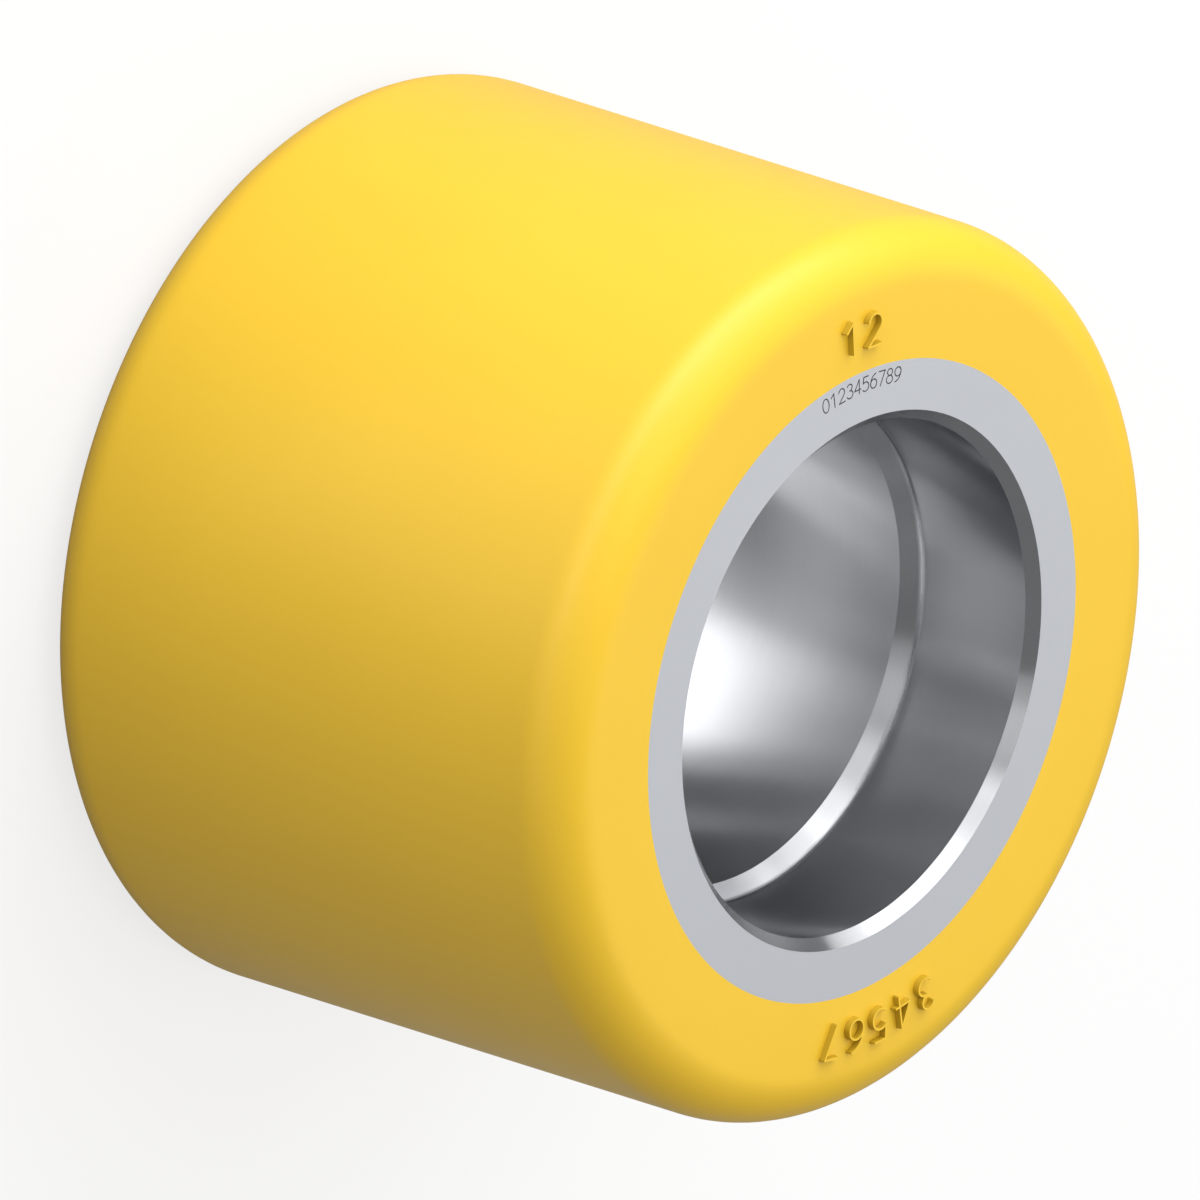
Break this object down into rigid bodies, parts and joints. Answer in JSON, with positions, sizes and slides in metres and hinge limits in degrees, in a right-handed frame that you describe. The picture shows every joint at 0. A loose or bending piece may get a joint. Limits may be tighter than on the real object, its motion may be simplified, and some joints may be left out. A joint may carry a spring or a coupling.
{
  "type": "pallet truck wheel",
  "caption": "Load wheel for a pallet truck: wide yellow polyurethane tread on a turned steel hub, with an empty bearing seat in each end.",
  "frame": {"origin": "middle of the wheel: on its axis, halfway between the two end faces", "axes": "+Z along the wheel's axis to the front end, the one that carries the moulded digits; +Y to the digits at 12 o'clock; +X to the right as one faces the front end"},
  "size_m": [0.082, 0.082, 0.06],
  "materials": {
    "steel": "fine turned",
    "polyurethane": "smooth cast, half gloss"
  },
  "bodies": {
    "root": {"hub": "steel", "tread": "polyurethane"}
  },
  "joints": []
}
